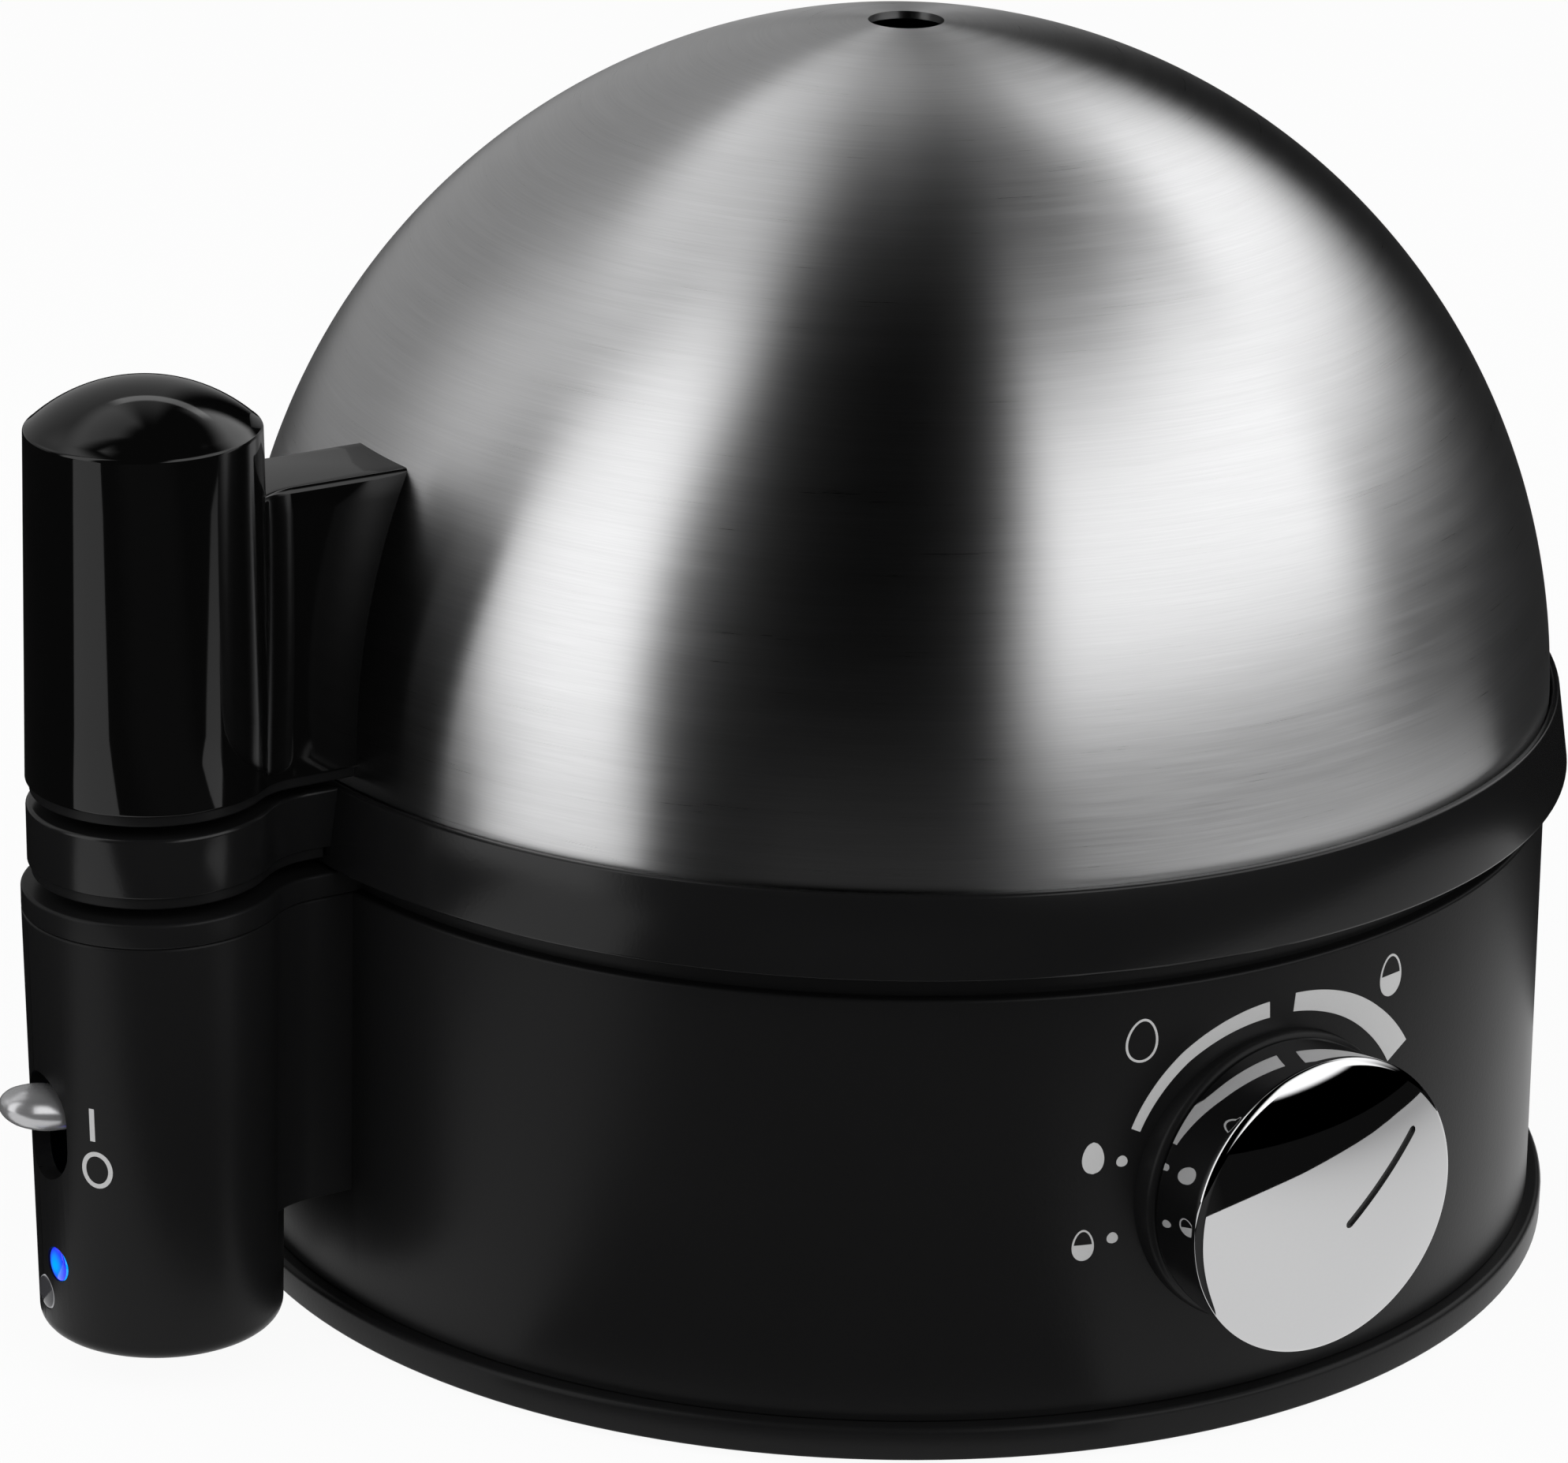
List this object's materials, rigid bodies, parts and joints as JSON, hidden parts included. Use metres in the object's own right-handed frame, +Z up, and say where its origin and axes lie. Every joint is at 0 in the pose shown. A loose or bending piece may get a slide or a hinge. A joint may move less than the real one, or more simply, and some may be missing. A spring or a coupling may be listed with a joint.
{
  "type": "egg boiler",
  "caption": "Round electric egg boiler: heated base with knob and switch, lift-off egg carrier, and a steel dome lid with a side handle.",
  "frame": {"origin": "middle of the footprint, at the level of the feet's undersides", "axes": "+Z up, -Y towards the knob, -X towards the handle tower; +X is the longest extent"},
  "size_m": [0.2212, 0.193, 0.1613],
  "materials": {
    "matte_black_plastic": "fine satin moulding texture",
    "gloss_black_plastic": "high gloss",
    "stainless_steel": "fine brushing round the dome, satin elsewhere",
    "chrome": "polished chrome plating",
    "silver_plastic": "silver paint on plastic",
    "aluminium": "satin",
    "zinc_steel": "zinc plated steel",
    "element_sheath": "dull heat-tinted steel tube",
    "ceramic": "glazed ceramic",
    "silicone": "soft silicone, matte",
    "black_rubber": "matte rubber",
    "board_laminate": "glass-fibre laminate",
    "white_plastic": "moulded, satin",
    "blue_lens": "clear blue plastic, lit from behind",
    "clear_lens": "clear plastic"
  },
  "bodies": {
    "base": {"base_housing": "matte_black_plastic", "base_plate": "matte_black_plastic", "top_cover": "matte_black_plastic", "water_bowl": "stainless_steel", "bowl_seal": "silicone", "heat_plate": "aluminium", "heating_element": "element_sheath", "element_terminal_back": "ceramic", "element_terminal_front": "ceramic", "element_strap": "zinc_steel", "thermostat": "ceramic", "thermal_fuse": "white_plastic", "control_board": "board_laminate", "buzzer": "matte_black_plastic", "relay": "white_plastic", "capacitor": "aluminium", "potentiometer": "zinc_steel", "pot_nut": "zinc_steel", "terminal_block": "white_plastic", "cord_gland": "black_rubber", "knob_collar": "matte_black_plastic", "switch_body": "matte_black_plastic", "lever_pin": "zinc_steel", "lamp_board": "board_laminate", "ready_lamp": "blue_lens", "ready_lens": "blue_lens", "heat_lamp": "clear_lens", "heat_lens": "clear_lens", "foot_1": "black_rubber", "foot_2": "black_rubber", "foot_3": "black_rubber", "foot_4": "black_rubber", "plate_screw_1": "zinc_steel", "plate_screw_2": "zinc_steel", "plate_screw_3": "zinc_steel", "plate_screw_4": "zinc_steel", "strap_screw_1": "zinc_steel", "strap_screw_2": "zinc_steel"},
    "knob": {"knob_shell": "chrome", "knob_insert": "matte_black_plastic", "pot_shaft": "aluminium"},
    "lever": {"switch_lever": "silver_plastic"},
    "carrier": {"carrier_ring": "matte_black_plastic", "carrier_handle_plug": "matte_black_plastic", "egg_tray": "stainless_steel", "tray_screw_1": "zinc_steel", "tray_screw_2": "zinc_steel", "tray_screw_3": "zinc_steel"},
    "lid": {"lid_dome": "stainless_steel", "lid_handle": "gloss_black_plastic", "lid_handle_plug": "matte_black_plastic", "clamp_pad": "matte_black_plastic", "lid_screw_1": "zinc_steel", "lid_screw_2": "zinc_steel"}
  },
  "joints": [
    {"name": "knob_turn", "type": "hinge", "parent": "base", "child": "knob", "pos_m": [0.02057, -0.0829, 0.0334], "axis": [0, -1, 0], "range_deg": [-13, 148]},
    {"name": "switch_tip", "type": "hinge", "parent": "base", "child": "lever", "pos_m": [-0.09348, 0.0065, 0.0343], "axis": [0, -1, 0], "range_deg": [0, 25]},
    {"name": "carrier_lift", "type": "slide", "parent": "base", "child": "carrier", "axis": [0, 0, 1], "range_m": [0, 0.06]},
    {"name": "lid_lift", "type": "slide", "parent": "carrier", "child": "lid", "axis": [0, 0, 1], "range_m": [0, 0.1]}
  ]
}
